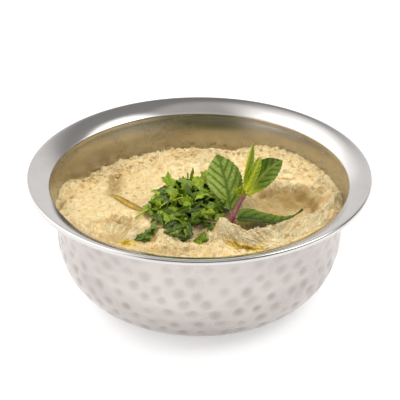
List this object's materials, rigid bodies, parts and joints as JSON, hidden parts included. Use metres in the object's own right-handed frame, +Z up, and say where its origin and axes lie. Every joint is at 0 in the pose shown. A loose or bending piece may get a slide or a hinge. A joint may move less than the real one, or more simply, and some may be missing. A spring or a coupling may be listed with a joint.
{
  "type": "bowl of baba ganoush",
  "caption": "Hammered steel serving bowl with a wide rolled rim, filled with baba ganoush and garnished with chopped parsley, a mint sprig and olive oil.",
  "frame": {"origin": "centre of the bowl's flat foot, on the surface it stands on", "axes": "+Z up along the bowl's axis, -Y towards the viewer, +X to the viewer's right"},
  "size_m": [0.1498, 0.1498, 0.0664],
  "materials": {
    "steel": "polished, brushed in rings inside, hammered outside",
    "dip_paste": "moist fibrous paste",
    "olive_oil": "clear amber oil",
    "parsley": "fresh cut leaf",
    "mint_leaf": "veined leaf",
    "mint_shoot": "young leaf",
    "mint_stem": "purple stem"
  },
  "bodies": {
    "root": {"bowl": "steel", "dip": "dip_paste", "oil_left_streak": "olive_oil", "oil_front_groove": "olive_oil", "oil_front_left_hollow": "olive_oil", "oil_under_leaf": "olive_oil", "chopped_parsley": "parsley", "parsley_scrap_left": "parsley", "parsley_scrap_front": "parsley", "mint_stem": "mint_stem", "mint_broad_leaf": "mint_leaf", "mint_trailing_leaf": "mint_leaf", "mint_folded_leaf": "mint_leaf", "mint_tall_shoot": "mint_shoot", "mint_short_shoot": "mint_shoot", "mint_bud": "mint_shoot"}
  },
  "joints": []
}
